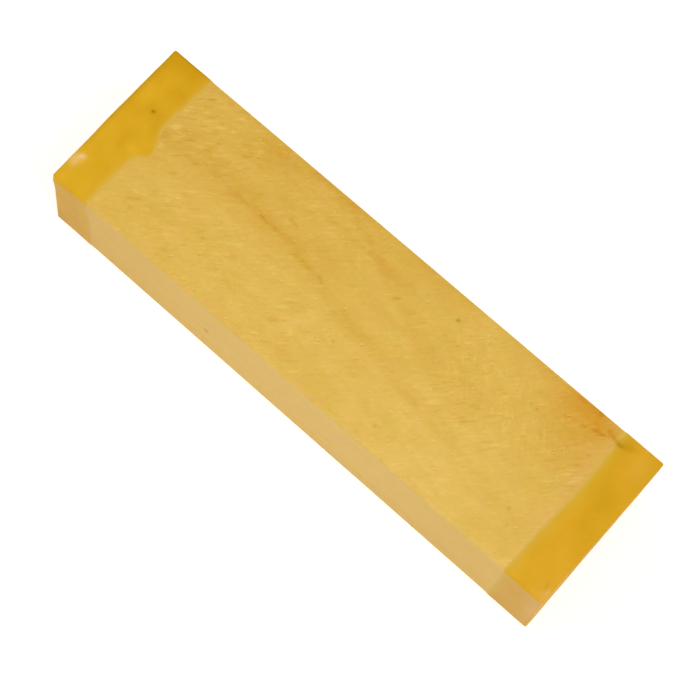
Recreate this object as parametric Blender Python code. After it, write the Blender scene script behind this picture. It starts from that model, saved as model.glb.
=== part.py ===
"""Knife-handle blank of yellow pequia wood: a sawn block with both ends dipped in wax.

Metres, +Z up. +X runs along the grain to the right-hand end, +Y to the far side.
The origin is on the surface that the block rests on, under its middle.
"""
import math

import bmesh
import bpy
from mathutils import Matrix

# The wood block, as sawn
BLOCK_LENGTH = 0.1392
BLOCK_WIDTH = 0.03945
BLOCK_HEIGHT = 0.0268
WIDTH_GAIN = 0.0008       # the right-hand end is this much wider than the left
LEFT_END_SKEW = 0.00026   # the left-hand end is sawn this far out of square
ARRIS_EASE = 0.0004       # sharp corners rubbed down by hand
ARRIS_STEPS = 3

# The wax, one dipped coat at each end
FIT_GAP = 0.0003          # clear space between the wood and the wax
WAX_FILM = 0.00025        # thickness of a coat
DIP_DEPTH = 0.0098        # how far a coat reaches along the block
COAT_STATIONS_ALONG = 5
COAT_STATION_STEP = 0.0026
CORNER_ROOM = 0.001       # stations keep this clear of the eased corners

# Waves in a coat's edge: (y, z, reach, extra depth), z measured from the block's middle
HALF_WIDTH = BLOCK_WIDTH / 2
HALF_HEIGHT = BLOCK_HEIGHT / 2
LEFT_EDGE_WAVES = (
    (-0.0013, HALF_HEIGHT, 0.0028, 0.0022),
    (-HALF_WIDTH, HALF_HEIGHT, 0.0140, -0.0005),
    (HALF_WIDTH, HALF_HEIGHT, 0.0100, 0.0002),
    (-HALF_WIDTH, -0.0020, 0.0080, 0.0003),
    (0.0100, -HALF_HEIGHT, 0.0045, 0.0012),
    (-0.0120, -HALF_HEIGHT, 0.0050, -0.0008),
    (HALF_WIDTH, -0.0020, 0.0040, 0.0010),
)
RIGHT_EDGE_WAVES = (
    (0.0172, HALF_HEIGHT, 0.0012, 0.0019),
    (0.0115, HALF_HEIGHT, 0.0075, -0.0008),
    (-HALF_WIDTH, -HALF_HEIGHT, 0.0080, 0.0008),
    (-HALF_WIDTH, 0.0000, 0.0090, 0.0004),
    (0.0020, -HALF_HEIGHT, 0.0060, -0.0007),
    (HALF_WIDTH, 0.0000, 0.0045, -0.0006),
)

# Splinter torn out of the far arris, just short of the right-hand coat
TEAR_CENTRE_X = 0.0528
TEAR_LENGTH = 0.0120
TEAR_WIDTH = 0.0044
TEAR_DEPTH = 0.0006
TEAR_RAISE = 0.0003       # the scoop's middle is this far above the face
TEAR_TURN_DEG = -4
TEAR_SEGMENTS = (20, 12)

WAX_BOTTOM_TO_MIDDLE = HALF_HEIGHT + FIT_GAP + WAX_FILM

# Linear colours read off the photograph's light and dark patches
WOOD_COLOUR = (0.70, 0.43, 0.09, 1.0)
WAX_COLOUR = (0.68, 0.38, 0.014, 1.0)
WOOD_ROUGHNESS = 0.62
WAX_ROUGHNESS = 0.30
SMOOTH_BELOW_DEG = 40


def clear_scene():
    for thing in list(bpy.data.objects):
        bpy.data.objects.remove(thing, do_unlink=True)


def principled(name, colour, roughness):
    material = bpy.data.materials.new(name)
    material.use_nodes = True
    shader = material.node_tree.nodes["Principled BSDF"]
    shader.inputs["Base Color"].default_value = colour
    shader.inputs["Roughness"].default_value = roughness
    shader.inputs["Metallic"].default_value = 0.0
    material.diffuse_color = colour
    return material


def as_sawn(point):
    """A point of the true rectangular block, moved to where the slightly untrue block has it."""
    along = point.x / BLOCK_LENGTH
    across = point.y / BLOCK_WIDTH
    point.x -= LEFT_END_SKEW * across * (0.5 - along)
    point.y += WIDTH_GAIN * along * across
    return point


def node_from(bm, name, material):
    """Seats the mesh on the untrue block, lifts it onto the surface and makes the node."""
    for vert in bm.verts:
        vert.co = as_sawn(vert.co)
    bmesh.ops.translate(bm, verts=bm.verts, vec=(0, 0, WAX_BOTTOM_TO_MIDDLE))
    bmesh.ops.recalc_face_normals(bm, faces=bm.faces)
    mesh = bpy.data.meshes.new(name)
    bm.to_mesh(mesh)
    bm.free()
    mesh.materials.append(material)
    mesh.shade_smooth()
    mesh.set_sharp_from_angle(angle=math.radians(SMOOTH_BELOW_DEG))
    node = bpy.data.objects.new(name, mesh)
    bpy.context.scene.collection.objects.link(node)
    return node


def box(size, centre=(0, 0, 0)):
    bm = bmesh.new()
    bmesh.ops.create_cube(bm, size=1.0)
    bmesh.ops.scale(bm, verts=bm.verts, vec=size)
    bmesh.ops.translate(bm, verts=bm.verts, vec=centre)
    return bm


def ease(bm, edges, radius):
    bmesh.ops.bevel(bm, geom=edges, affect="EDGES", offset=radius, offset_type="OFFSET",
                    segments=ARRIS_STEPS, profile=0.5, material=-1, clamp_overlap=True)


def lens_cutter(name, size, centre, turn):
    """A flattened ball whose lower cap scoops a shallow hollow out of the wood."""
    bm = bmesh.new()
    around, up = TEAR_SEGMENTS
    bmesh.ops.create_uvsphere(bm, u_segments=around, v_segments=up, radius=0.5)
    bmesh.ops.scale(bm, verts=bm.verts, vec=size)
    bmesh.ops.rotate(bm, verts=bm.verts, cent=(0, 0, 0), matrix=turn)
    bmesh.ops.translate(bm, verts=bm.verts, vec=centre)
    mesh = bpy.data.meshes.new(name)
    bm.to_mesh(mesh)
    bm.free()
    cutter = bpy.data.objects.new(name, mesh)
    cutter.hide_render = True
    cutter.display_type = "WIRE"
    bpy.context.scene.collection.objects.link(cutter)
    return cutter


def cut(node, cutter):
    modifier = node.modifiers.new(cutter.name, "BOOLEAN")
    modifier.operation = "DIFFERENCE"
    modifier.solver = "EXACT"
    modifier.object = cutter


def add_wood():
    bm = box((BLOCK_LENGTH, BLOCK_WIDTH, BLOCK_HEIGHT))
    ease(bm, bm.edges[:], ARRIS_EASE)
    wood = node_from(bm, "wood_blank", principled("sawn_pequia", WOOD_COLOUR, WOOD_ROUGHNESS))

    top = BLOCK_HEIGHT / 2 + WAX_BOTTOM_TO_MIDDLE
    tear_place = (TEAR_CENTRE_X, HALF_WIDTH, top + TEAR_RAISE)
    tear_size = (TEAR_LENGTH, 2 * TEAR_WIDTH, 2 * TEAR_DEPTH)
    tear_turn = Matrix.Rotation(math.radians(TEAR_TURN_DEG), 3, "Z")
    cut(wood, lens_cutter("far_arris_tear", tear_size, tear_place, tear_turn))
    return wood


def edge_depth(y, z, waves):
    """How far the coat reaches along the block at this place on its girth."""
    depth = DIP_DEPTH
    for wave_y, wave_z, reach, extra in waves:
        apart = ((y - wave_y) ** 2 + (z - wave_z) ** 2) / reach ** 2
        depth += extra * math.exp(-apart)
    return depth


def stations(half_span):
    """Even places across a face, short of its eased corners."""
    reach = half_span - CORNER_ROOM
    count = round(2 * reach / COAT_STATION_STEP)
    return [-reach + 2 * reach * k / count for k in range(count + 1)]


def slice_across(bm, point, normal):
    bmesh.ops.bisect_plane(bm, geom=bm.verts[:] + bm.edges[:] + bm.faces[:],
                           plane_co=point, plane_no=normal, dist=1e-6)


def add_coat(name, end, waves, material):
    """One dipped coat: five thin walls over an end of the block. end is -1 left, 1 right."""
    length = DIP_DEPTH + FIT_GAP
    end_x = end * (BLOCK_LENGTH / 2 + FIT_GAP)
    size = (length, BLOCK_WIDTH + 2 * FIT_GAP, BLOCK_HEIGHT + 2 * FIT_GAP)
    bm = box(size, (end_x - end * length / 2, 0, 0))

    open_side = [face for face in bm.faces if face.normal.x * end < -0.5]
    bmesh.ops.delete(bm, geom=open_side, context="FACES_ONLY")
    corners = [edge for edge in bm.edges if len(edge.link_faces) == 2]
    ease(bm, corners, ARRIS_EASE + FIT_GAP)

    for y in stations(HALF_WIDTH):
        slice_across(bm, (0, y, 0), (0, 1, 0))
    for z in stations(HALF_HEIGHT):
        slice_across(bm, (0, 0, z), (0, 0, 1))
    for k in range(1, COAT_STATIONS_ALONG):
        slice_across(bm, (end_x - end * length * k / COAT_STATIONS_ALONG, 0, 0), (1, 0, 0))

    # The edge waves: each line along the coat is stretched to its own depth
    for vert in bm.verts:
        from_end = end * (end_x - vert.co.x)
        share = (from_end / length) ** 2
        vert.co.x -= end * share * (edge_depth(vert.co.y, vert.co.z, waves) - DIP_DEPTH)

    bmesh.ops.recalc_face_normals(bm, faces=bm.faces)
    inward = sum(face.normal.x * end * face.calc_area() for face in bm.faces) < 0
    if inward:
        bmesh.ops.reverse_faces(bm, faces=bm.faces)
    bmesh.ops.solidify(bm, geom=bm.faces[:], thickness=-WAX_FILM)
    return node_from(bm, name, material)


def main():
    clear_scene()
    add_wood()
    wax = principled("dipped_wax", WAX_COLOUR, WAX_ROUGHNESS)
    add_coat("left_end_wax", -1, LEFT_EDGE_WAVES, wax)
    add_coat("right_end_wax", 1, RIGHT_EDGE_WAVES, wax.copy())


main()
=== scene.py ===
"""Looks of the yellow pequia handle blank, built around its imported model. Metres, +Z up."""
import math

import bmesh
import bpy
import numpy as np
from mathutils import Euler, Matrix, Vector, noise


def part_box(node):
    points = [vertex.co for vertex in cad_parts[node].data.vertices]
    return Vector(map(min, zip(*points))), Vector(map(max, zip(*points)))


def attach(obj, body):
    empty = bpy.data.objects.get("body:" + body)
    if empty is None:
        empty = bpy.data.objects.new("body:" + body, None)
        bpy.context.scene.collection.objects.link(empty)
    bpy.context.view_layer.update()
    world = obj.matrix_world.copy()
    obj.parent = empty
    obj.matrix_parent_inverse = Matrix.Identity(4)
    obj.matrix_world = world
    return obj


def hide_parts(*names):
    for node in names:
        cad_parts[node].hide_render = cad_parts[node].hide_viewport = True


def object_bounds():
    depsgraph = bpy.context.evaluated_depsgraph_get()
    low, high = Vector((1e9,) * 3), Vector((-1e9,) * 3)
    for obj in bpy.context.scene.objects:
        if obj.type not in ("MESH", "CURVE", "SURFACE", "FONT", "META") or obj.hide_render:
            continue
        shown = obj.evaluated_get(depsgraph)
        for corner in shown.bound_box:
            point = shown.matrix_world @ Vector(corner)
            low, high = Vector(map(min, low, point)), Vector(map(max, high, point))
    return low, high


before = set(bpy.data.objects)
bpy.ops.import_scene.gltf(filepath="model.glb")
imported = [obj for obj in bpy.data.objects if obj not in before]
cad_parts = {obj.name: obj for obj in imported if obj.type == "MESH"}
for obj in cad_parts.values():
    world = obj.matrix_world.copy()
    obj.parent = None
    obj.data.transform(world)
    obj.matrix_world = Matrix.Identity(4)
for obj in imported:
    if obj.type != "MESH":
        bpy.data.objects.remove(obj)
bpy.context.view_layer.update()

MM = 0.001

# The sawn block, in mm. It stands over the frame's origin, and its middle is as high as the solid block's.
wood_low, wood_high = (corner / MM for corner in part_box("wood_blank"))
MIDDLE = (wood_low.z + wood_high.z) / 2
LENGTH = 139.2
WIDTH = 40.0
HEIGHT = 27.16
WIDTH_GAIN = 1.1          # the right-hand end is this much wider than the left
LEFT_END_SKEW = 0.26      # the left-hand end is sawn this far out of square
RIGHT_END_LEAN = 0.5      # the right-hand end's far lower corner is sawn this far in
ARRIS_EASE = 0.30         # sharp corners rubbed down by hand
ARRIS_STEPS = 3
SMOOTH_BELOW_DEG = 45     # faces that meet at less than this are shaded as one
HALF_WIDTH = WIDTH / 2
HALF_HEIGHT = HEIGHT / 2
TOP = MIDDLE + HALF_HEIGHT

# The dipped wax, in mm
WAX_CLEAR = 0.01          # the skin's inner face lies this far off the wood
WAX_FILM = 0.07           # its thickness on the long faces
WAX_END_FILM = 0.40       # and on the end grain
WAX_RIM_FILM = 0.012      # it thins to this at its edge
DIP_DEPTH = 10.3          # how far a coat reaches along the block
DEEPEST_DIP = 16.5        # its edge reaches less far than this everywhere


def linear(hex_colour):
    """An sRGB hex colour as the linear RGBA that shaders take."""
    parts = [int(hex_colour[k:k + 2], 16) / 255 for k in (0, 2, 4)]
    return tuple(c / 12.92 if c <= 0.04045 else ((c + 0.055) / 1.055) ** 2.4 for c in parts) + (1.0,)


def add(tree, kind, *inputs, **settings):
    """Adds a node. Inputs, in order, are values, sockets or nodes; None leaves one as it is."""
    node = tree.nodes.new(kind)
    for name, value in settings.items():
        setattr(node, name, value)
    sockets = [socket for socket in node.inputs if socket.enabled]
    for socket, value in zip(sockets, inputs):
        if isinstance(value, bpy.types.Node):
            value = next(output for output in value.outputs if output.enabled)
        if isinstance(value, bpy.types.NodeSocket):
            tree.links.new(value, socket)
        elif value is not None:
            socket.default_value = value
    return node


def new_material(name):
    material = bpy.data.materials.new(name)
    material.use_nodes = True
    return material, material.node_tree, material.node_tree.nodes["Principled BSDF"]


# Camera, light and table

CAMERA_PLACE = (82.45, -150.64, 577.99)   # mm
CAMERA_TURN = (16.235, -3.789, 41.330)    # degrees
CAMERA_LENS = 138.13
SENSOR_WIDTH = 36.0
CAMERA_REACH = 20.0                       # metres

# Light and table, in metres
TABLE_REACH = 6.0
SOFTBOX_DISTANCE = 1.3
SOFTBOX_SIZE = 0.9
SOFTBOXES = (
    # name, azimuth and elevation of its place in degrees, power in watts
    ("softbox_left", 200, 44, 9.5),
    ("softbox_right", 5, 48, 8.9),
    ("softbox_front", -75, 50, 2.6),
    ("softbox_back", 80, 28, 3.5),
)
ROOM_GLOW = 0.15


def add_camera():
    data = bpy.data.cameras.new("camera")
    data.lens = CAMERA_LENS
    data.sensor_width = SENSOR_WIDTH
    data.clip_end = CAMERA_REACH
    camera = bpy.data.objects.new("camera", data)
    camera.location = Vector(CAMERA_PLACE) * MM
    camera.rotation_euler = Euler([math.radians(turn) for turn in CAMERA_TURN])
    bpy.context.scene.collection.objects.link(camera)
    bpy.context.scene.camera = camera


def add_light():
    for name, azimuth, elevation, power in SOFTBOXES:
        data = bpy.data.lights.new(name, "AREA")
        data.shape = "SQUARE"
        data.size = SOFTBOX_SIZE
        data.energy = power
        towards = Vector((math.cos(math.radians(elevation)), 0, math.sin(math.radians(elevation))))
        towards.rotate(Euler((0, 0, math.radians(azimuth))))
        light = bpy.data.objects.new(name, data)
        light.location = towards * SOFTBOX_DISTANCE
        light.rotation_euler = towards.to_track_quat("Z", "Y").to_euler()
        bpy.context.scene.collection.objects.link(light)

    world = bpy.data.worlds.new("pale_room")
    world.use_nodes = True
    world.node_tree.nodes["Background"].inputs["Strength"].default_value = ROOM_GLOW
    world.node_tree.nodes["Background"].inputs["Color"].default_value = (1.0, 1.0, 1.0, 1.0)
    bpy.context.scene.world = world
    bpy.context.scene.view_settings.view_transform = "Standard"


def white_laminate():
    """Matt white laminate, lit so that it stays white right up to the block."""
    material, _, shader = new_material("matt_white_laminate")
    shader.inputs["Base Color"].default_value = linear("e6e6e6")
    shader.inputs["Roughness"].default_value = 0.9
    shader.inputs["Specular IOR Level"].default_value = 0.0
    shader.inputs["Emission Color"].default_value = (1.0, 1.0, 1.0, 1.0)
    shader.inputs["Emission Strength"].default_value = 0.45
    return material


def new_object(name, bm):
    mesh = bpy.data.meshes.new(name)
    bm.to_mesh(mesh)
    bm.free()
    made = bpy.data.objects.new(name, mesh)
    bpy.context.scene.collection.objects.link(made)
    return made


def add_table():
    """Made last, because it lies at the lowest point of the pieces."""
    lowest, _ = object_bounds()
    bm = bmesh.new()
    bmesh.ops.create_grid(bm, x_segments=1, y_segments=1, size=TABLE_REACH)
    bmesh.ops.translate(bm, verts=bm.verts, vec=(0, 0, lowest[2]))
    table = new_object("table", bm)
    table.data.materials.append(white_laminate())


# Mesh making. Shapes are worked in mm about the block's middle, then seated in the frame.

SHORT_EDGE = 4            # edges up to this long cross an arris and stay whole


def box(size, centre=(0, 0, 0)):
    bm = bmesh.new()
    bmesh.ops.create_cube(bm, size=1.0)
    bmesh.ops.scale(bm, verts=bm.verts, vec=size)
    bmesh.ops.translate(bm, verts=bm.verts, vec=centre)
    return bm


def ease(bm, edges, radius):
    bmesh.ops.bevel(bm, geom=edges, affect="EDGES", offset=radius, offset_type="OFFSET",
                    segments=ARRIS_STEPS, profile=0.5, material=-1, clamp_overlap=True)


def cut_across(bm, axis, step, half=0):
    """Cuts the long edges along an axis into even steps. Half 1 takes the upper ones, -1 the lower."""
    edges = []
    for edge in bm.edges:
        span = edge.verts[1].co - edge.verts[0].co
        height = edge.verts[0].co.z + edge.verts[1].co.z
        if abs(span[axis]) > SHORT_EDGE and height * half >= 0:
            edges.append(edge)
    longest = max(abs(edge.verts[1].co[axis] - edge.verts[0].co[axis]) for edge in edges)
    bmesh.ops.subdivide_edges(bm, edges=edges, cuts=round(longest / step) - 1, use_grid_fill=True)


def points_of(bm):
    return np.array([vert.co[:] for vert in bm.verts])


def seat(bm, points):
    """Moves mm points to where the slightly untrue block has them, and to metres in the frame."""
    along = points[:, 0] / LENGTH
    across = points[:, 1] / WIDTH
    lean = (0.5 - points[:, 2] / HEIGHT) * (0.5 + across)
    x = points[:, 0] - LEFT_END_SKEW * across * (0.5 - along) - RIGHT_END_LEAN * lean * (0.5 + along)
    y = points[:, 1] + WIDTH_GAIN * along * across
    z = points[:, 2] + MIDDLE
    for vert, place in zip(bm.verts, np.stack([x, y, z], 1) * MM):
        vert.co = place


def finish_piece(name, bm, marks, material, node):
    """Makes the object, with a number at each vertex for each kind of mark that its material reads."""
    piece = new_object(name, bm)
    piece.data.shade_smooth()
    piece.data.set_sharp_from_angle(angle=math.radians(SMOOTH_BELOW_DEG))
    for kind, values in marks.items():
        attribute = piece.data.attributes.new(kind, "FLOAT", "POINT")
        attribute.data.foreach_set("value", values.astype(np.float32))
    piece.data.materials.append(material)
    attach(piece, "root")
    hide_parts(node)


def ripple(place, size, seed=0.0):
    """Smooth noise, about -1 to 1, at a place in mm, with lumps of this size."""
    x, y, z = place
    return noise.noise(Vector((x / size, y / size, z / size + seed)))


def smooth(low, high, value):
    share = np.clip((value - low) / (high - low), 0, 1)
    return share * share * (3 - 2 * share)


def hump(x, y, centre, reach, turn=0.0):
    """1 at the centre of an oval place, fading smoothly to 0 around it."""
    slope = math.radians(turn)
    dx, dy = x - centre[0], y - centre[1]
    along = (dx * math.cos(slope) + dy * math.sin(slope)) / reach[0]
    across = (dy * math.cos(slope) - dx * math.sin(slope)) / reach[1]
    return np.exp(-along ** 2 - across ** 2)


def line(x, y, route, half_width):
    """1 on a given route, fading to 0 at its sides."""
    nearest = np.full(np.shape(x), 1e9)
    for (ax, ay), (bx, by) in zip(route, route[1:]):
        length = math.hypot(bx - ax, by - ay)
        share = np.clip(((x - ax) * (bx - ax) + (y - ay) * (by - ay)) / length ** 2, 0, 1)
        nearest = np.minimum(nearest, np.hypot(x - ax - share * (bx - ax), y - ay - share * (by - ay)))
    return np.exp(-(nearest / half_width) ** 2)


# The wood's shape. Sizes are in mm.

TOP_STEP = 0.36                  # steps of the mesh along the block and on its top
UNDER_STEP = 1.8                 # across the underside
SIDE_STEP = 0.7                  # and up the sides
ON_FACE = 0.001                  # a vertex within this of a face's plane is on the face
PAST_ARRIS = 1.2 * ARRIS_EASE    # a wide face's marks run on over its arris this far
EDGE_BLEND = 0.3                 # the marks fade, and the top drops, within this of the wax's edge
CLEAR_OF_WAX = -9.0              # stands for every place that is well clear of the wax

SAW_CENTRE = (-239.0, 256.0)     # arbor of the saw whose teeth left arcs on the wide faces
SAW_RADIUS = 350.0
SAW_MARK_PITCH = 1.2
NOISE_PITCH = 1.6                # lumps of noise follow one another at this many times their size
SAW_MARK_LENGTH = 5.0
SAW_MARK_HEIGHT = 0.02
SAW_MARK_PLAIN = 0.7             # their strength, and how much it changes from place to place
SAW_MARK_CHANGE = 0.8
SAW_MARK_CHANGE_LENGTH = 9.0
FACE_WAVE_HEIGHT = 0.03
FACE_WAVE_LENGTH = 16.0
UNDER_WAX_DROP = 0.04            # the top keeps this far down under the skin of wax

# How strongly the saw marks show all over the wide faces, and on the sides
PLAIN_MARKING = 0.13
SIDE_MARKING = 0.05
# Where they show more: (x, y), (reach along, reach across), turn in degrees, strength
MARKED_PLACES = (
    ((-53.0, 12.0), (10.0, 8.0), 20, 0.46),
    ((-46.0, -8.0), (14.0, 9.0), 0, 0.14),
    ((-20.0, 10.0), (12.0, 7.0), 20, 0.06),
    ((-22.0, -2.0), (9.0, 6.0), 40, 0.12),
    ((-10.0, -12.0), (8.0, 8.0), 50, 0.20),
    ((24.0, 11.0), (9.0, 6.0), 0, 0.06),
    ((30.0, -1.0), (14.0, 5.0), 0, 0.26),
    ((36.0, -12.0), (9.0, 7.0), 40, 0.04),
    ((56.0, 3.0), (4.0, 5.0), 0, 0.38),
)
# Where a second pass of the saw crosses them
CROSSED_PLACES = (
    ((27.0, 8.0), (15.0, 8.0), 0, 0.18),
    ((45.0, 7.0), (8.0, 6.0), 0, 0.26),
    ((-30.0, -12.0), (10.0, 4.0), 0, 0.14),
)
# Short dashes and specks, where a fibre stands up or a pore lies open: how strong they are on the wide
# faces, how much that changes from place to place, and how strong they are on the sides
PLAIN_FLECKS = 0.92
FLECK_CHANGE = 0.5
FLECK_CHANGE_LENGTH = 9.0
SIDE_FLECKS = 0.15

# Pits in the top: (x, y), reach, depth
PITS = (
    ((16.6, 14.8), 0.36, 0.34),
    ((-36.5, -8.6), 0.33, 0.17),
    ((-48.3, 10.0), 0.33, 0.14),
    ((-43.8, 8.0), 0.32, 0.09),
    ((18.7, -14.9), 0.34, 0.17),
    ((-0.3, -6.9), 0.34, 0.17),
    ((51.5, -9.2), 0.34, 0.15),
    ((53.5, -12.2), 0.32, 0.13),
    ((42.0, 11.1), 0.32, 0.16),
    ((22.9, -0.4), 0.30, 0.09),
)
SCRATCHES = (
    # route, half width, depth
    (((-30.7, 3.8), (-29.6, 3.65), (-28.4, 3.5)), 0.24, 0.038),
    (((3.0, 9.3), (4.2, 10.0)), 0.25, 0.04),
    (((-25.4, 7.5), (-23.0, 7.2)), 0.24, 0.03),
    (((-12.0, 1.9), (-11.3, 1.6), (-10.5, 1.1)), 0.26, 0.035),
)
# Painted shade in the pits and scratches, this strong for each mm of their depth
PIT_SHADE = 3.0               # for each mm of depth
SCRATCH_SHADE = 9.0

# The splinter torn out of the far arris: (x, y), (reach along, reach across), turn in degrees, depth
TEAR = ((52.6, 20.8), (5.0, 1.6), -4.0, 0.30)
TORN_FIBRE_DEPTH = 0.08          # its floor is rough with fibres this deep and this wide,
TORN_FIBRE_WIDTH = 0.5
TORN_FIBRE_STRETCH = 4.0         # this many times as long as wide, and stained by this,
TORN_FIBRE_STAIN = 0.2
TORN_AT_LEAST = 0.05             # down to where the tear has this share of its depth
CRACKS = (
    # route, half width, depth, stain, painted shade
    (((47.4, 14.0), (47.9, 14.2)), 0.45, 0.02, 0.10, 0.08),
    (((48.3, 14.6), (50.0, 14.9), (51.4, 15.0)), 0.30, 0.04, 0.04, 0.05),
    (((51.6, 15.0), (52.2, 15.1)), 0.40, 0.05, 0.04, 0.26),
    (((53.9, 15.7), (55.2, 16.0), (56.3, 16.2)), 0.33, 0.08, 0.06, 0.34),
    (((56.3, 16.2), (57.0, 16.7), (57.8, 17.4)), 0.36, 0.05, 0.10, 0.10),
    (((53.4, 17.0), (54.0, 16.8), (54.6, 16.2)), 0.36, 0.05, 0.10, 0.10),
    (((56.7, 17.9), (56.9, 17.5)), 0.50, 0.04, 0.10, 0.20),
    (((58.2, 17.3), (59.0, 17.0), (60.3, 16.7)), 0.45, 0.05, 0.20, 0.28),
    (((52.9, 19.0), (53.0, 18.6), (53.4, 17.2)), 0.36, 0.03, 0.20, 0.03),
    (((52.7, 20.0), (53.2, 19.4)), 0.50, 0.03, 0.24, 0.22),
    (((47.4, 19.5), (48.8, 19.3)), 0.40, 0.03, 0.20, 0.06),
)
# The lifted chip beside the wax: (x, y), (reach along, reach across), height
CHIP = ((58.8, 18.9), (1.4, 1.1), 0.10)
# A pit in the near side, with painted shade in it: x, z, reach, depth
SIDE_PIT = (-24.9, -2.0, 0.6, 0.2)
SIDE_TONE = 0.2                  # below the top, the wood darkens by this towards its ends,
SIDE_TONE_SPAN = (15, 60)        # from this far off its middle to this far,
SIDE_EVENNESS = 0.5              # and this share of the grain's tones is evened out on the sides

# Amber stain round the tear, and faint along the growth lines and in a few spots:
# (x, y), (reach along, reach across), turn, strength
STAINED_PLACES = (
    ((51.0, 19.8), (3.2, 1.4), -4, 0.60),
    ((50.6, 17.6), (4.2, 2.0), -10, 0.50),
    ((46.0, 17.0), (4.2, 2.4), 0, 0.28),
    ((46.8, 19.5), (2.4, 0.8), 0, 0.50),
    ((55.4, 17.4), (2.8, 2.0), 10, 0.48),
    ((58.4, 18.6), (1.8, 1.4), 0, 0.50),
    ((49.0, 13.4), (8.5, 5.0), -20, 0.26),
    ((-28.0, 3.6), (24.0, 1.8), 0, 0.07),
    ((-35.5, 18.0), (2.2, 1.8), 20, 0.12),
    ((-2.0, 13.4), (4.5, 1.5), -10, 0.15),
    ((-16.8, 6.6), (1.8, 1.2), -30, 0.10),
    ((-16.5, 2.2), (4.5, 0.9), -8, 0.07),
    ((1.5, -2.4), (4.5, 1.0), -12, 0.10),
    ((11.5, 5.4), (7.0, 1.2), -22, 0.08),
    ((-5.8, -15.9), (3.4, 1.5), 0, 0.12),
    ((57.5, 13.4), (2.2, 2.0), 0, 0.13),
    ((56.6, 8.0), (1.8, 2.6), 0, 0.08),
    ((44.5, 18.2), (2.2, 1.2), 0, 0.10),
)
# Where the wood turns rosy, beside the wax
ROSY_PLACES = (
    ((58.4, 5.0), (2.4, 14.0), 0, 0.65),
    ((-59.0, 9.0), (1.6, 8.0), 0, 0.5),
)

# Soft patches on the top: (x, y), (reach along, reach across), turn in degrees, tone: + dark, - light
PATCHES = (
    ((57.0, 19.0), (14.0, 8.0), -12, 0.32),
    ((53.0, 8.0), (9.0, 11.0), 0, 0.28),
    ((52.0, -9.5), (8.0, 3.0), -6, 0.14),
    ((54.0, -16.0), (7.0, 5.0), 0, 0.16),
    ((-8.0, 19.8), (46.0, 2.6), 0, 0.09),
    ((-31.0, 12.0), (4.5, 5.0), 0, 0.10),
    ((-47.0, 0.0), (5.0, 3.0), 0, 0.08),
    ((-32.0, 0.5), (4.0, 2.5), 0, 0.10),
    ((22.0, 4.0), (9.0, 4.0), -10, 0.10),
    ((33.0, 8.5), (6.0, 3.0), 0, 0.09),
    ((-55.0, 15.5), (7.0, 6.0), 10, -0.15),
    ((-36.5, 17.0), (5.0, 2.4), 28, 0.14),
    ((-34.0, 5.5), (24.0, 3.0), 2, 0.04),
    ((-42.0, -3.5), (13.0, 3.2), 0, -0.09),
    ((-22.0, -6.0), (12.0, 4.0), -10, -0.06),
    ((-1.0, 12.8), (6.5, 2.2), -14, 0.13),
    ((22.5, 18.5), (4.0, 2.6), 0, -0.15),
    ((26.0, 12.5), (10.0, 3.5), -6, -0.07),
    ((2.0, 17.0), (16.0, 1.6), 3, 0.05),
    ((-9.0, -9.0), (8.0, 1.4), 62, -0.14),
    ((-4.5, -10.0), (6.0, 1.0), 60, -0.06),
    ((32.0, -13.0), (8.0, 4.5), 25, -0.09),
    ((4.0, -17.0), (12.0, 2.4), 0, 0.09),
    ((-56.0, -18.0), (5.0, 2.4), 0, 0.10),
    ((-52.0, -11.5), (6.0, 1.2), -4, 0.06),
    ((-45.0, -14.6), (10.0, 0.8), -2, 0.05),
    ((58.0, 13.5), (2.2, 2.4), 0, -0.22),
    ((58.8, 19.0), (1.4, 0.9), 0, -0.85),
    ((-22.0, 6.4), (12.0, 2.4), -3, 0.08),
    ((-54.0, 8.0), (5.0, 2.6), 0, 0.07),
    ((-26.0, 1.5), (10.0, 2.0), 0, 0.05),
    ((-12.0, 12.5), (7.0, 2.6), 0, 0.06),
    ((-2.0, -16.0), (5.0, 2.4), 0, 0.06),
    ((-56.0, -15.5), (4.0, 3.0), 0, 0.08),
    ((51.0, -15.0), (7.0, 4.0), 0, 0.07),
    ((48.5, 12.0), (5.0, 3.5), 0, -0.08),
    ((-4.0, 20.0), (50.0, 1.2), 0, 0.12),
    ((-14.5, 1.9), (4.0, 0.9), -8, 0.04),
    ((0.8, -1.8), (4.0, 1.0), -15, 0.07),
    ((-15.5, 7.6), (3.4, 2.6), -30, 0.11),
    ((13.0, 6.0), (8.0, 1.3), -26, 0.08),
    ((15.4, 13.4), (2.4, 2.6), 0, -0.10),
    ((38.5, 18.2), (4.0, 1.8), 0, 0.11),
    ((-56.2, 3.4), (2.6, 5.0), 0, 0.08),
    ((48.0, 17.2), (4.5, 2.4), 0, -0.08),
    ((-59.6, 5.1), (0.9, 0.35), 40, -0.35),
)


def saw_mark(x, y):
    """How high the saw's arcs stand here, about -1 to 1."""
    radius = math.hypot(x - SAW_CENTRE[0], y - SAW_CENTRE[1])
    swing = math.atan2(y - SAW_CENTRE[1], x - SAW_CENTRE[0]) * SAW_RADIUS
    arcs = noise.noise(Vector((NOISE_PITCH * radius / SAW_MARK_PITCH, swing / SAW_MARK_LENGTH, 1.7)))
    return arcs * (SAW_MARK_PLAIN + SAW_MARK_CHANGE * ripple((x, y, 0), SAW_MARK_CHANGE_LENGTH, 4.1))


def summed(x, y, places):
    """The sum of the soft places of a table, each an oval with a strength."""
    return sum(strength * hump(x, y, centre, reach, turn) for centre, reach, turn, strength in places)


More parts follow.
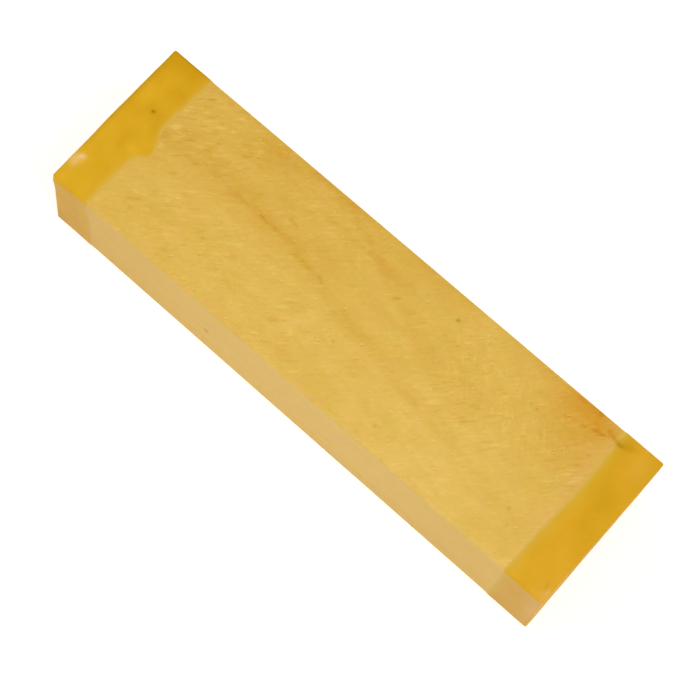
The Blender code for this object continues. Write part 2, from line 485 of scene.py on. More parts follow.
def past_edge(points, picked):
    """How far, in mm, the picked points lie inside the edge of the wax; elsewhere a negative number."""
    inside = np.full(len(points), CLEAR_OF_WAX)
    near_wax = np.abs(points[:, 0]) > LENGTH / 2 - DEEPEST_DIP
    for k in np.nonzero(picked & near_wax)[0]:
        waves = LEFT_EDGE_WAVES if points[k, 0] < 0 else RIGHT_EDGE_WAVES
        inside[k] = edge_depth(points[k], waves) - (LENGTH / 2 - abs(points[k, 0]))
    return inside


def wood_relief(points):
    """Shapes the wide top face and returns what its material reads at each vertex."""
    x, y, z = points.T
    top = z > HALF_HEIGHT - ON_FACE
    near_side = y < ON_FACE - HALF_WIDTH
    inside = past_edge(points, z > HALF_HEIGHT - ARRIS_EASE)
    open_face = 1 - smooth(-EDGE_BLEND, EDGE_BLEND, inside)
    marked = np.clip(PLAIN_MARKING + summed(x, y, MARKED_PLACES), 0, 1)
    crossed = np.clip(summed(x, y, CROSSED_PLACES), 0, 1)
    change = np.array([ripple(point, FLECK_CHANGE_LENGTH, 6.3) for point in points])
    flecked = np.maximum(PLAIN_FLECKS + FLECK_CHANGE * change, 0)
    tone = summed(x, y, PATCHES)
    stain = summed(x, y, STAINED_PLACES)

    hollow_shade = np.zeros(len(points))
    lift = np.zeros(len(points))
    for k in np.nonzero(top)[0]:
        lift[k] = SAW_MARK_HEIGHT * saw_mark(x[k], y[k]) * marked[k]
        lift[k] += FACE_WAVE_HEIGHT * ripple(points[k], FACE_WAVE_LENGTH)
    for centre, reach, depth in PITS:
        pit = hump(x, y, centre, (reach, reach))
        lift -= depth * pit
        hollow_shade += PIT_SHADE * depth * pit
    for route, half_width, depth in SCRATCHES:
        scratch = line(x, y, route, half_width)
        lift -= depth * scratch
        hollow_shade += SCRATCH_SHADE * depth * scratch

    centre, reach, turn, depth = TEAR
    torn = hump(x, y, centre, reach, turn)
    fibres = np.zeros(len(points))
    for k in np.nonzero(torn > TORN_AT_LEAST)[0]:
        fibres[k] = ripple((x[k] / TORN_FIBRE_STRETCH, y[k], 0), TORN_FIBRE_WIDTH, 2.2)
    lift -= torn * (depth + TORN_FIBRE_DEPTH * fibres)
    stain += TORN_FIBRE_STAIN * torn * fibres
    for route, half_width, depth, stained, crack_shade in CRACKS:
        crack = line(x, y, route, half_width)
        lift -= depth * crack
        stain += stained * crack
        hollow_shade += crack_shade * crack
    centre, reach, height = CHIP
    lift += height * hump(x, y, centre, reach)

    lift = lift * open_face - UNDER_WAX_DROP * smooth(0.0, EDGE_BLEND, inside)
    points[:, 2] += np.where(top, lift, 0.0)

    pit_x, pit_z, reach, depth = SIDE_PIT
    side_pit = hump(x, z, (pit_x, pit_z), (reach, reach)) * near_side
    points[:, 1] += depth * side_pit
    upper = z > HALF_HEIGHT - PAST_ARRIS
    wide_face = np.abs(z) > HALF_HEIGHT - PAST_ARRIS
    return {
        "tone": np.where(upper, tone, SIDE_TONE * smooth(*SIDE_TONE_SPAN, np.abs(x))),
        "stain": np.where(upper, np.clip(stain, 0, 1), 0.0),
        "hollow_shade": np.where(upper, np.clip(hollow_shade, 0, 1), side_pit),
        "rosy": np.where(upper, summed(x, y, ROSY_PLACES), 0.0),
        "marked": np.where(wide_face, marked, SIDE_MARKING),
        "crossed": np.where(wide_face, crossed, 0.0),
        "flecked": np.where(wide_face, flecked, SIDE_FLECKS),
        "even": np.where(wide_face, 0.0, SIDE_EVENNESS),
    }


def sawn_block():
    bm = box((LENGTH, WIDTH, HEIGHT))
    ease(bm, bm.edges[:], ARRIS_EASE)
    cut_across(bm, 0, TOP_STEP)
    cut_across(bm, 1, TOP_STEP, half=1)
    cut_across(bm, 1, UNDER_STEP, half=-1)
    cut_across(bm, 2, SIDE_STEP)
    points = points_of(bm)
    marks = wood_relief(points)
    seat(bm, points)
    finish_piece("pequia_block", bm, marks, sawn_pequia(), "wood_blank")


# What the wood is coloured with. Places are in mm.

# Growth lines on the wide face: (x, y) along the strongest one, and the width of the rings beside it
MAIN_LINE = ((-70, 2.5), (-56.4, 2.6), (-29, 3.2), (-15.5, 1.8), (1, -1.8), (17, -5.4), (33, -7.1),
             (57, -10.1), (70, -11.5))
RING_WIDTH = ((-70, 4.2), (-58, 5.0), (-46, 8.0), (-35, 13.0), (-23, 16.5), (-7, 13.0), (3, 12.0),
              (12, 9.8), (21, 7.0), (35, 5.0), (48, 4.2), (70, 3.6))
HALF_SPAN = 70.0                 # both run this far from the middle, within this range of values
CURVE_RANGE = 20.0
RING_SLOPE = 0.6                 # how far a ring moves towards the near side for each mm of depth
LINE_WANDER = 4.0                # the lines wander within a belt this wide, in lumps of these sizes,
WANDER_SIZES = (24.0, 9.0, 9.0)
BREAK_SIZES = (5.0, 2.6, 2.6)    # and are broken into stretches of these, from this faint to this strong
BREAK_RANGE = (0.35, 1.35)
# How dark a line is by the distance from its middle, how strong each one is by its number, counted from the
# strongest towards the far side, and how strong they all are by the place along the block
LATE_WOOD = ((-2.6, 0.0), (-1.3, 0.18), (-0.5, 0.80), (0.3, 1.0), (1.3, 0.58), (2.8, 0.22), (6.0, 0.0))
RING_STRENGTH = ((-6, 0.12), (-1, 0.25), (0, 1.0), (1, 0.5), (2, 0.4), (6, 0.2))
LINE_FADE = ((-70, 0.9), (-52, 0.97), (-25, 1.15), (-8, 0.9), (15, 0.75), (30, 0.45), (70, 0.25))
LINE_TONE = 0.26                 # how much darker the strongest line is, in tone

# Tone is 0 for the palest wood and 1 for the darkest. The board darkens towards the left and the far side.
PLAIN_TONE = 0.37
TONE_SLOPE = (-0.0023, 0.0081, 0.0)
TONE_DRIFT = 0.10                # and drifts this far up and down in lumps of these sizes
DRIFT_SIZES = (9.0, 4.0, 4.0)

# Rosy and greenish mottling: its lumps, and the most that it takes of either colour
MOTTLE_SIZES = (4.0, 2.6, 2.6)
ROSY_SHARE = 0.35
GREEN_SHARE = 0.30

# Sizes of marks: across, along and down for those that follow the saw, and along, across and down for those
# that follow the grain. A tooth's scratch and a pore are really 0.1 to 0.3 mm wide. The picture can't show
# that, so here they are drawn about 1 mm wide.
SAW_STROKE = (0.8, 4.2, 3.0)
CROSSING_STROKE = (2.4, 0.8, 3.0)
FINE_STROKE = (0.8, 1.5, 3.0)
GRAIN_STROKE = (5.0, 0.8, 0.8)
LIFTED_FIBRE = (1.0, 2.2, 3.0)
OPEN_PORE = (1.0, 1.0, 1.0)
MARK_HEIGHT = 0.02               # how high a fully lit mark stands, in mm

# Strokes of the saw, from shadowed ones below 0 to lit ones, against the noise that places them
SECOND_PASS_TURN = 47.0
STROKES = ((0.22, -0.85), (0.34, -0.30), (0.43, -0.01), (0.57, 0.01), (0.66, 0.36), (0.78, 1.0))

# What a fully lit stroke adds to the wood's colour, and a fully shadowed one or a deep pit takes off it
RELIEF_SHADE = "8b8a54"

# How lit one side of a dash is and how shadowed the other, and how far a dash fills its cell
DASH_LIT = 0.54
DASH_SHADOW = -0.46
DASH_CORE = 0.10
DASH_REACH = 0.40


def follow(tree, value, low, high, points, top=1.0, bottom=0.0):
    """A smooth curve through given points: low and high bound its input, bottom and top its output."""
    share = add(tree, "ShaderNodeMapRange", value, low, high, 0.0, 1.0)
    curve = add(tree, "ShaderNodeFloatCurve", 1.0, share)
    spots = curve.mapping.curves[0].points
    scaled = [((x - low) / (high - low), (y - bottom) / (top - bottom)) for x, y in points]
    spots[0].location, spots[-1].location = scaled[0], scaled[-1]
    for place in scaled[1:-1]:
        spots.new(*place)
    curve.mapping.update()
    return add(tree, "ShaderNodeMapRange", curve, 0.0, 1.0, bottom, top)


def place_in_mm(tree):
    coordinates = add(tree, "ShaderNodeTexCoord")
    return add(tree, "ShaderNodeMapping", coordinates.outputs["Object"], None, None, (1000.0, 1000.0, 1000.0))


def grain_noise(tree, place, sizes, detail=2.0, seed=0.0):
    """Noise, 0 to 1, with lumps of these three sizes in mm."""
    stretched = add(tree, "ShaderNodeMapping", place, (seed, seed, seed), None, [1 / size for size in sizes])
    return add(tree, "ShaderNodeTexNoise", stretched, 1.0, detail, 0.55)


def growth_lines(tree, place):
    """How dark the late wood is, 0 to 1, at any place in the block."""
    wander = grain_noise(tree, place, WANDER_SIZES)
    shift = add(tree, "ShaderNodeVectorMath", wander.outputs["Color"], (0.5, 0.5, 0.5), operation="SUBTRACT")
    moved = add(tree, "ShaderNodeVectorMath", shift, 3 * (LINE_WANDER,), place, operation="MULTIPLY_ADD")
    x, y, z = add(tree, "ShaderNodeSeparateXYZ", moved).outputs
    depth = add(tree, "ShaderNodeMath", TOP, z, operation="SUBTRACT")
    across = add(tree, "ShaderNodeMath", depth, RING_SLOPE, y, operation="MULTIPLY_ADD")
    main_line = follow(tree, x, -HALF_SPAN, HALF_SPAN, MAIN_LINE, CURVE_RANGE, -CURVE_RANGE)
    width = follow(tree, x, -HALF_SPAN, HALF_SPAN, RING_WIDTH, CURVE_RANGE)
    off_line = add(tree, "ShaderNodeMath", across, main_line, operation="SUBTRACT")
    ring = add(tree, "ShaderNodeMath", off_line, width, operation="DIVIDE")
    nearest = add(tree, "ShaderNodeMath", ring, operation="ROUND")
    share = add(tree, "ShaderNodeMath", ring, nearest, operation="SUBTRACT")
    apart = add(tree, "ShaderNodeMath", share, width, operation="MULTIPLY")
    late = follow(tree, apart, LATE_WOOD[0][0], LATE_WOOD[-1][0], LATE_WOOD)
    strength = follow(tree, nearest, RING_STRENGTH[0][0], RING_STRENGTH[-1][0], RING_STRENGTH)
    broken = grain_noise(tree, place, BREAK_SIZES, seed=7.0)
    uneven = add(tree, "ShaderNodeMapRange", broken, 0.34, 0.66, *BREAK_RANGE)
    fade = follow(tree, x, -HALF_SPAN, HALF_SPAN, LINE_FADE, 1.5)
    weighted = add(tree, "ShaderNodeMath", late, strength, operation="MULTIPLY")
    faded = add(tree, "ShaderNodeMath", weighted, fade, operation="MULTIPLY")
    return add(tree, "ShaderNodeMath", faded, uneven, operation="MULTIPLY")


def strokes(tree, place, sizes, height, weight, seed, relief):
    """Adds lit and shadowed strokes, this strong at most, to a relief, weighted by a vertex attribute."""
    cuts = grain_noise(tree, place, sizes, 1.0, seed)
    scaled = [(value, height * stroke) for value, stroke in STROKES]
    stroke = follow(tree, cuts, STROKES[0][0], STROKES[-1][0], scaled, height, -height)
    strength = add(tree, "ShaderNodeAttribute", attribute_name=weight).outputs["Fac"]
    return add(tree, "ShaderNodeMath", stroke, strength, relief, operation="MULTIPLY_ADD")


def dashes(tree, place, sizes, share, weight, seed, relief):
    """Adds short marks, each lit on one side, to a relief, in this share of the cells of these sizes."""
    stretched = add(tree, "ShaderNodeMapping", place, (seed, seed, seed), None, [1 / size for size in sizes])
    cells = add(tree, "ShaderNodeTexVoronoi", stretched, 1.0)
    spot = add(tree, "ShaderNodeMapRange", cells.outputs["Distance"], DASH_CORE, DASH_REACH, 1.0, 0.0)
    chance, _, _ = add(tree, "ShaderNodeSeparateXYZ", cells.outputs["Color"]).outputs
    picked = add(tree, "ShaderNodeMapRange", chance, 1 - share, 1.0, 0.0, 1.0)
    off_centre = add(tree, "ShaderNodeVectorMath", stretched, cells.outputs["Position"], operation="SUBTRACT")
    side, _, _ = add(tree, "ShaderNodeSeparateXYZ", off_centre).outputs
    shade = add(tree, "ShaderNodeMapRange", side, -0.5 * DASH_REACH, 0.5 * DASH_REACH, DASH_LIT, DASH_SHADOW)
    mark = add(tree, "ShaderNodeMath", spot, picked, operation="MULTIPLY")
    shaded = add(tree, "ShaderNodeMath", mark, shade, operation="MULTIPLY")
    strength = add(tree, "ShaderNodeAttribute", attribute_name=weight).outputs["Fac"]
    return add(tree, "ShaderNodeMath", shaded, strength, relief, operation="MULTIPLY_ADD")


def saw_place(tree, place):
    """Distance from the saw's arbor and length along its cut, so that marks run as arcs."""
    offset = add(tree, "ShaderNodeVectorMath", place, (*SAW_CENTRE, 0.0), operation="SUBTRACT")
    x, y, z = add(tree, "ShaderNodeSeparateXYZ", offset).outputs
    flat = add(tree, "ShaderNodeCombineXYZ", x, y)
    radius = add(tree, "ShaderNodeVectorMath", flat, operation="LENGTH")
    angle = add(tree, "ShaderNodeMath", y, x, operation="ARCTAN2")
    arc = add(tree, "ShaderNodeMath", angle, SAW_RADIUS, operation="MULTIPLY")
    return add(tree, "ShaderNodeCombineXYZ", radius, arc, z)


def sawn_pequia():
    """Fine-sawn yellow pequia: warm yellow with faint brown growth lines, matt and marked by the saw."""
    material, tree, shader = new_material("fine_sawn_pequia")
    place = place_in_mm(tree)

    slope = add(tree, "ShaderNodeVectorMath", place, TONE_SLOPE, operation="DOT_PRODUCT")
    drift = grain_noise(tree, place, DRIFT_SIZES, 3.0, seed=3.0)
    tone = add(tree, "ShaderNodeMapRange", drift, 0.3, 0.7, PLAIN_TONE - TONE_DRIFT, PLAIN_TONE + TONE_DRIFT)
    tone = add(tree, "ShaderNodeMath", tone, slope.outputs["Value"], operation="ADD")
    tone = add(tree, "ShaderNodeMath", growth_lines(tree, place), LINE_TONE, tone, operation="MULTIPLY_ADD")
    even = add(tree, "ShaderNodeAttribute", attribute_name="even").outputs["Fac"]
    tone = add(tree, "ShaderNodeMix", even, tone, PLAIN_TONE)
    patches = add(tree, "ShaderNodeAttribute", attribute_name="tone").outputs["Fac"]
    tone = add(tree, "ShaderNodeMath", tone, patches, operation="ADD")

    body = add(tree, "ShaderNodeValToRGB", tone)
    ramp = body.color_ramp.elements
    ramp[0].position, ramp[0].color = 0.0, linear("e6be60")
    ramp[1].position, ramp[1].color = 1.0, linear("cc9728")
    ramp.new(0.15).color = linear("e2b956")
    ramp.new(0.38).color = linear("dcb148")
    ramp.new(0.81).color = linear("d1a130")

    rosy = grain_noise(tree, place, MOTTLE_SIZES, seed=13.0)
    rosiness = add(tree, "ShaderNodeMapRange", rosy, 0.48, 0.68, 0.0, ROSY_SHARE)
    placed = add(tree, "ShaderNodeAttribute", attribute_name="rosy").outputs["Fac"]
    rosiness = add(tree, "ShaderNodeMath", rosiness, placed, operation="ADD")
    blushed = add(tree, "ShaderNodeMix", rosiness, body, linear("dcaa50"), data_type="RGBA").outputs[2]
    green = grain_noise(tree, place, MOTTLE_SIZES, seed=31.0)
    greenness = add(tree, "ShaderNodeMapRange", green, 0.48, 0.68, 0.0, GREEN_SHARE)
    mottled = add(tree, "ShaderNodeMix", greenness, blushed, linear("d2b243"), data_type="RGBA").outputs[2]

    stain = add(tree, "ShaderNodeAttribute", attribute_name="stain").outputs["Fac"]
    amber = add(tree, "ShaderNodeMix", stain, mottled, linear("d08f00"), data_type="RGBA").outputs[2]

    # Painted light and shade of cuts and pores, as an even lightening or darkening of whatever colour they
    # lie in
    arcs = saw_place(tree, place)
    second_pass = add(tree, "ShaderNodeMapping", place, None, (0.0, 0.0, math.radians(SECOND_PASS_TURN)))
    relief = strokes(tree, arcs, SAW_STROKE, 1.0, "marked", 0.0, 0.0)
    relief = strokes(tree, second_pass, CROSSING_STROKE, 1.0, "crossed", 5.0, relief)
    relief = strokes(tree, arcs, FINE_STROKE, 0.13, "flecked", 9.0, relief)
    relief = strokes(tree, place, GRAIN_STROKE, 0.07, "flecked", 41.0, relief)
    relief = dashes(tree, arcs, LIFTED_FIBRE, 0.4, "flecked", 17.0, relief)
    relief = dashes(tree, place, OPEN_PORE, 0.25, "flecked", 23.0, relief)
    # Painted shade in the pits, scratches and cracks, taken off the colour with the strokes
    hollow_shade = add(tree, "ShaderNodeAttribute", attribute_name="hollow_shade").outputs["Fac"]
    relief = add(tree, "ShaderNodeMath", relief, hollow_shade, operation="SUBTRACT")
    colour = add(tree, "ShaderNodeMix", relief, amber, linear(RELIEF_SHADE), data_type="RGBA",
                 blend_type="ADD", clamp_factor=False, clamp_result=True)
    tree.links.new(colour.outputs[2], shader.inputs["Base Color"])

    bump = add(tree, "ShaderNodeBump", 1.0, MARK_HEIGHT * MM, None, relief)
    tree.links.new(bump.outputs["Normal"], shader.inputs["Normal"])
    shader.inputs["Roughness"].default_value = 0.6
    shader.inputs["IOR"].default_value = 1.5
    shader.inputs["Specular IOR Level"].default_value = 0.42
    return material


# The wax. Sizes are in mm.

WAX_STEP = 0.42

# Waves in a coat's edge: (y, z, reach, extra depth), z from the block's middle
LEFT_EDGE_WAVES = (
    (-2.2, HALF_HEIGHT, 2.1, 2.45),
    (0.8, HALF_HEIGHT, 1.9, 1.4),
    (7.0, HALF_HEIGHT, 2.5, -0.1),
    (-HALF_WIDTH, HALF_HEIGHT, 16.0, -0.7),
    (HALF_WIDTH, HALF_HEIGHT, 11.0, 0.45),
    (-HALF_WIDTH, -2.0, 8.0, 0.4),
    (10.0, -HALF_HEIGHT, 4.5, 1.2),
    (-12.0, -HALF_HEIGHT, 5.0, -0.8),
    (HALF_WIDTH, -2.0, 4.0, 1.0),
)
RIGHT_EDGE_WAVES = (
    (17.2, HALF_HEIGHT, 1.0, 0.6),
    (4.0, HALF_HEIGHT, 10.0, -0.50),
    (-HALF_WIDTH, -HALF_HEIGHT, 8.0, 0.9),
    (-HALF_WIDTH, 0.0, 9.0, 0.4),
    (2.0, -HALF_HEIGHT, 6.0, -0.7),
    (HALF_WIDTH, 0.0, 4.5, -0.6),
)
EDGE_WOBBLE = 0.14
EDGE_WOBBLE_LENGTH = 1.7
RIM_REACH = 0.8                  # the film takes this long to reach its full thickness,
RIM_BEAD = 0.02                  # where a bead stands up this high and reaches this far to each side
RIM_BEAD_REACH = 0.5
WAX_SWELL = 0.035                # it is uneven by this, in lumps of this size
WAX_SWELL_LENGTH = 4.0
WAX_TONE_SLOPE = 0.012           # the wax darkens by this for each mm towards the far side
WAX_SIDE_TONE = 0.36             # and by this on the sides and ends
WAX_LINE_TONE = 0.08             # the wood's growth lines show through it this much
RIM_FADE = 0.55                  # this far in from its edge, the wood shows through a third as much
GREEN_REACH = 2.0                # about this far in, its yellow is a little greener,
GREENNESS = {-1: 0.15, 1: 0.55}  # by this share at the left-hand end and at the right-hand end


def edge_depth(place, waves):
    """How far a coat reaches along the block, in mm, at this place on its girth."""
    _, y, z = place
    depth = DIP_DEPTH + EDGE_WOBBLE * ripple((0, y, z), EDGE_WOBBLE_LENGTH, waves[0][0])
    for wave_y, wave_z, reach, extra in waves:
        depth += extra * math.exp(-((y - wave_y) ** 2 + (z - wave_z) ** 2) / reach ** 2)
    return depth


def wax_coat(name, node, end, waves, material):
    """One dipped coat: a skin over an end of the block. end is -1 left, 1 right."""
    inner_end = LENGTH / 2 + WAX_CLEAR
    size = (DIP_DEPTH, WIDTH + 2 * WAX_CLEAR, HEIGHT + 2 * WAX_CLEAR)
    bm = box(size, (end * (inner_end - DIP_DEPTH / 2), 0, 0))
    open_side = [face for face in bm.faces if face.normal.x * end < -0.5]
    bmesh.ops.delete(bm, geom=open_side, context="FACES_ONLY")
    ease(bm, [edge for edge in bm.edges if len(edge.link_faces) == 2], ARRIS_EASE + WAX_CLEAR)
    for axis in range(3):
        cut_across(bm, axis, WAX_STEP)
    for vert in bm.verts:
        share = (inner_end - end * vert.co.x) / DIP_DEPTH
        vert.co.x -= end * share ** 2 * (edge_depth(vert.co, waves) - DIP_DEPTH)
    bmesh.ops.recalc_face_normals(bm, faces=bm.faces)
    if sum(face.normal.x * end * face.calc_area() for face in bm.faces) < 0:
        bmesh.ops.reverse_faces(bm, faces=bm.faces)
    inner = set(bm.verts)
    bmesh.ops.solidify(bm, geom=bm.faces[:], thickness=WAX_CLEAR - WAX_FILM)
    points = points_of(bm)
    outer = np.array([vert not in inner for vert in bm.verts])
    marks = wax_relief(points, outer, end, waves)
    seat(bm, points)
    finish_piece(name, bm, marks, material, node)


def wax_relief(points, outer, end, waves):
    """Sets how thick the skin is all over, and returns what its material reads at each vertex."""
    core = points.copy()
    core[:, 0] = end * np.minimum(end * points[:, 0], LENGTH / 2 - ARRIS_EASE)
    core[:, 1] = np.clip(points[:, 1], ARRIS_EASE - HALF_WIDTH, HALF_WIDTH - ARRIS_EASE)
    core[:, 2] = np.clip(points[:, 2], ARRIS_EASE - HALF_HEIGHT, HALF_HEIGHT - ARRIS_EASE)
    outward = points - core
    outward /= np.linalg.norm(outward, axis=1)[:, None]

    from_rim = [edge_depth(point, waves) - (LENGTH / 2 - end * point[0]) for point in points]
    from_rim = np.maximum(np.array(from_rim), 0)
    swell = np.array([0.5 + ripple(point, WAX_SWELL_LENGTH, end) for point in points]) * WAX_SWELL
    film = WAX_FILM + swell + (WAX_END_FILM - WAX_FILM + swell) * outward[:, 0] ** 2
    film += RIM_BEAD * np.exp(-((from_rim - RIM_REACH) / RIM_BEAD_REACH) ** 2)
    film = WAX_RIM_FILM + (film - WAX_RIM_FILM) * smooth(0, RIM_REACH, from_rim)
    x, y, z = points.T
    matt_depth = np.interp(x, [place for place, _ in MATT_ARRIS], [depth for _, depth in MATT_ARRIS])
    matt = (1 - smooth(0.5, 1.0, (HALF_HEIGHT - z) / matt_depth)) * (y < -HALF_WIDTH + ARRIS_EASE)
    upper = z > HALF_HEIGHT - ARRIS_EASE
    tone = np.where(upper, WAX_TONE_SLOPE * y, WAX_SIDE_TONE * (1 - matt))
    stain = np.zeros(len(points))
    flake_and_glint = np.zeros(len(points))
    for place, reach, turn, height, darker, soiled, flaked_and_glinting in WAX_FEATURES:
        mound = hump(x, y, place[:2], reach[:2], turn) * np.exp(-((z - place[2]) / reach[2]) ** 2)
        film += height * mound
        tone += darker * mound
        stain += soiled * mound
        flake_and_glint += flaked_and_glinting * mound
    thick = ARRIS_EASE + WAX_CLEAR + np.maximum(film, WAX_RIM_FILM)
    points[outer] = (core + outward * thick[:, None])[outer]
    return {
        "tone": tone,
        "stain": np.clip(stain, 0, 1),
        "flake_and_glint": np.clip(flake_and_glint, 0, 1),
        "thin": np.exp(-from_rim / RIM_FADE),
        "green": GREENNESS[end] * np.exp(-(from_rim / GREEN_REACH) ** 2),
        "matt": np.clip(matt + outward[:, 0] ** 2 + stain, 0, 1),
    }


# Dents, bulges, drips, soiled places and pale ones, where the wax lifts off, and painted highlight and sheen:
# (x, y, z), (reach along, across, up), turn in degrees, height, tone, stain, pale flake and painted glint
CORNER = LENGTH / 2
WAX_FEATURES = (
    ((-CORNER, 4.0, HALF_HEIGHT), (0.55, 17.0, 0.8), 0, 0.0, 0.1, 0.16, 0.0),
    ((-65.5, HALF_WIDTH, HALF_HEIGHT), (5.0, 0.60, 0.8), 0, 0.0, 0.1, 0.20, 0.0),
    ((-63.8, 5.8, HALF_HEIGHT), (0.42, 0.36, 1.0), 0, -0.05, 0.0, 0.90, 0.0),
    ((-64.0, 6.0, HALF_HEIGHT), (2.2, 1.4, 1.0), 0, 0.0, 0.20, 0.0, 0.0),
    ((-67.0, 2.5, HALF_HEIGHT), (1.8, 2.2, 1.0), 0, 0.0, -0.12, 0.0, 0.0),
    ((-63.2, -14.5, HALF_HEIGHT), (3.2, 4.5, 1.0), 0, 0.0, 0.14, 0.0, 0.0),
    ((-66.0, 19.0, HALF_HEIGHT), (5.0, 2.2, 1.0), 0, 0.0, 0.35, 0.0, 0.0),
    ((-64.0, -3.5, HALF_HEIGHT), (1.6, 3.0, 1.0), 0, 0.0, 0.25, 0.0, 0.0),
    ((-61.2, -4.0, HALF_HEIGHT), (1.4, 1.0, 1.0), 0, 0.03, -0.45, 0.0, 0.0),
    ((-67.5, 8.0, HALF_HEIGHT), (1.8, 2.0, 1.0), 0, 0.0, -0.30, 0.0, 0.0),
    # A bump in the left coat, with its highlight painted on as paler tone and pale colour
    ((-68.3, -12.9, HALF_HEIGHT), (1.0, 0.7, 1.0), 30, 0.16, -1.0, 0.0, 0.0),
    ((-68.2, -12.6, HALF_HEIGHT), (0.8, 0.6, 1.0), 30, 0.0, 0.0, 0.0, 0.60),
    ((-68.9, -14.2, HALF_HEIGHT), (1.1, 1.4, 1.0), 0, 0.06, -0.5, 0.0, 0.35),
    ((-CORNER, -HALF_WIDTH, 10.5), (4.0, 4.0, 3.0), 0, 0.28, 0.0, 0.0, 0.0),
    ((-CORNER, 0.0, 0.0), (2.0, 11.0, 30.0), 0, 0.16, 0.0, 0.0, 0.0),
    ((59.2, 17.1, HALF_HEIGHT), (0.9, 0.36, 1.0), -16, -0.02, 0.0, 0.35, 0.0),
    ((60.4, 16.8, HALF_HEIGHT), (0.9, 0.45, 1.0), 6, -0.04, 0.1, 0.40, 0.0),
    ((62.4, 17.6, HALF_HEIGHT), (1.7, 0.45, 1.0), 18, -0.03, 0.3, 0.10, 0.0),
    ((61.4, 18.0, HALF_HEIGHT), (1.9, 1.3, 1.0), 20, 0.0, 0.40, 0.09, 0.0),
    ((62.2, -2.0, HALF_HEIGHT), (1.6, 9.0, 1.0), 0, 0.0, -0.10, 0.0, 0.0),
    ((66.8, 16.0, HALF_HEIGHT), (2.6, 3.4, 1.0), 0, 0.0, -0.10, 0.0, 0.03),
    ((67.4, -5.0, HALF_HEIGHT), (1.8, 4.0, 1.0), 20, 0.0, 0.16, 0.0, 0.0),
    ((63.0, -12.5, HALF_HEIGHT), (2.4, 1.6, 1.0), 0, 0.0, 0.10, 0.0, 0.0),
    ((64.5, 18.0, HALF_HEIGHT), (3.0, 3.0, 1.0), 0, 0.0, -0.35, 0.0, 0.0),
    ((65.8, 4.6, HALF_HEIGHT), (2.8, 3.4, 1.0), 20, 0.0, 0.55, 0.0, 0.0),
    ((65.5, -1.5, HALF_HEIGHT), (3.0, 3.0, 1.0), 0, 0.0, 0.20, 0.0, 0.0),
    ((67.4, 10.0, HALF_HEIGHT), (1.4, 3.0, 1.0), 0, 0.0, -0.10, 0.0, 0.0),
    ((66.5, 1.0, HALF_HEIGHT), (0.7, 0.5, 1.0), 40, -0.02, 0.2, 0.0, 0.0),
    ((69.1, -17.7, HALF_HEIGHT), (0.6, 0.9, 1.0), 0, 0.12, -0.5, 0.0, 0.12),
    ((68.6, -17.2, HALF_HEIGHT), (0.35, 1.3, 1.0), 20, -0.03, 0.5, 0.10, 0.0),
    # Painted sheen down the right coat's rounded near corner, on a slight swell of the wax
    ((CORNER, -HALF_WIDTH, 4.0), (2.4, 3.0, 12.0), 0, 0.02, -0.2, 0.0, 0.16),
)
# How far down the near side the matt, thickened arris of wax reaches: (x, depth)
MATT_ARRIS = ((-70.0, 5.0), (-61.0, 1.6), (-59.0, 1.0), (58.0, 0.8), (70.0, 1.0))

# A coat's colours where it is pale, plain and deep. The right one is a little more orange.
LEFT_WAX_COLOURS = ("dfad23", "d8a415", "cc9700")
RIGHT_WAX_COLOURS = ("dfa927", "d8a018", "ce9a08")
CLOUD_SIZES = (4.0, 7.0, 7.0)    # it is cloudy in lumps of these sizes, from this pale to this deep
CLOUD_TONES = (0.34, 0.68)
WAX_GLOSS = 0.23                 # its gloss where it is smooth, and where it is matt
MATT_WAX_GLOSS = 0.06


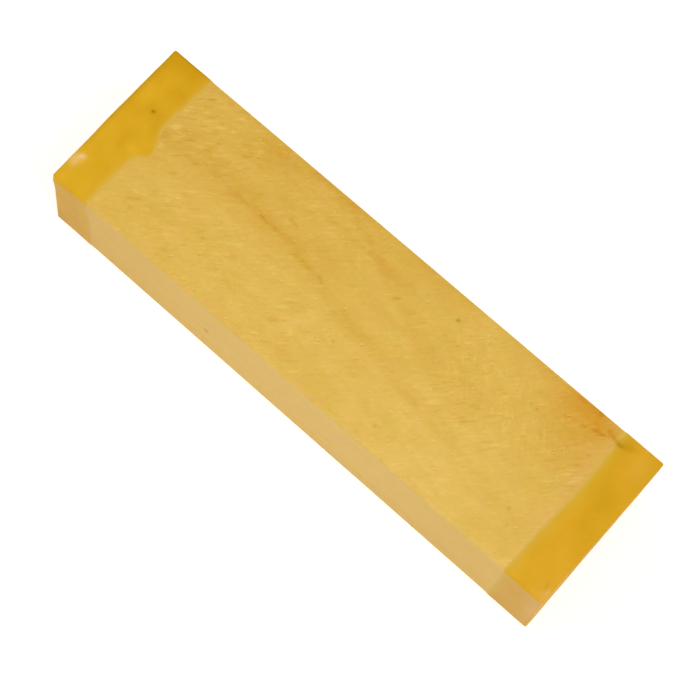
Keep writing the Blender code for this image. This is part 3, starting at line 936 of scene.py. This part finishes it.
def dipped_wax(name, colours, seed):
    """Hot-dipped paraffin on yellow wood: a deep, saturated, cloudy yellow with a satin gloss."""
    material, tree, shader = new_material(name)
    place = place_in_mm(tree)
    cloud = grain_noise(tree, place, CLOUD_SIZES, seed=seed)
    tone = add(tree, "ShaderNodeMapRange", cloud, 0.3, 0.7, *CLOUD_TONES)
    lines = growth_lines(tree, place)
    tone = add(tree, "ShaderNodeMath", lines, WAX_LINE_TONE, tone, operation="MULTIPLY_ADD")
    placed = add(tree, "ShaderNodeAttribute", attribute_name="tone").outputs["Fac"]
    tone = add(tree, "ShaderNodeMath", tone, placed, operation="ADD")
    body = add(tree, "ShaderNodeValToRGB", tone)
    ramp = body.color_ramp.elements
    pale, plain, deep = colours
    ramp[0].position, ramp[0].color = 0.0, linear(pale)
    ramp[1].position, ramp[1].color = 1.0, linear(deep)
    ramp.new(0.5).color = linear(plain)
    thin = add(tree, "ShaderNodeAttribute", attribute_name="thin").outputs["Fac"]
    green = add(tree, "ShaderNodeAttribute", attribute_name="green").outputs["Fac"]
    cooler = add(tree, "ShaderNodeMix", green, body, linear("cfa81c"), data_type="RGBA").outputs[2]
    feathered = add(tree, "ShaderNodeMix", thin, cooler, linear("d9b252"), data_type="RGBA").outputs[2]
    stain = add(tree, "ShaderNodeAttribute", attribute_name="stain").outputs["Fac"]
    soiled = add(tree, "ShaderNodeMix", stain, feathered, linear("8a5202"), data_type="RGBA").outputs[2]
    # Pale flakes, and painted highlight and sheen, mixed towards a pale cream
    flake_and_glint = add(tree, "ShaderNodeAttribute", attribute_name="flake_and_glint").outputs["Fac"]
    flaked_and_glinting = add(tree, "ShaderNodeMix", flake_and_glint, soiled, linear("f2cf9a"), data_type="RGBA")
    tree.links.new(flaked_and_glinting.outputs[2], shader.inputs["Base Color"])
    matt = add(tree, "ShaderNodeAttribute", attribute_name="matt").outputs["Fac"]
    gloss = add(tree, "ShaderNodeMapRange", matt, 0.0, 1.0, WAX_GLOSS, MATT_WAX_GLOSS)
    tree.links.new(gloss.outputs["Result"], shader.inputs["Specular IOR Level"])
    shader.inputs["Specular IOR Level"].default_value = WAX_GLOSS   # serves where the link isn't read
    shader.inputs["Roughness"].default_value = 0.5
    shader.inputs["IOR"].default_value = 1.43
    return material


add_camera()
add_light()
sawn_block()
wax_coat("left_dipped_wax", "left_end_wax", -1, LEFT_EDGE_WAVES,
         dipped_wax("left_dipped_paraffin", LEFT_WAX_COLOURS, 11.0))
wax_coat("right_dipped_wax", "right_end_wax", 1, RIGHT_EDGE_WAVES,
         dipped_wax("right_dipped_paraffin", RIGHT_WAX_COLOURS, 29.0))
add_table()
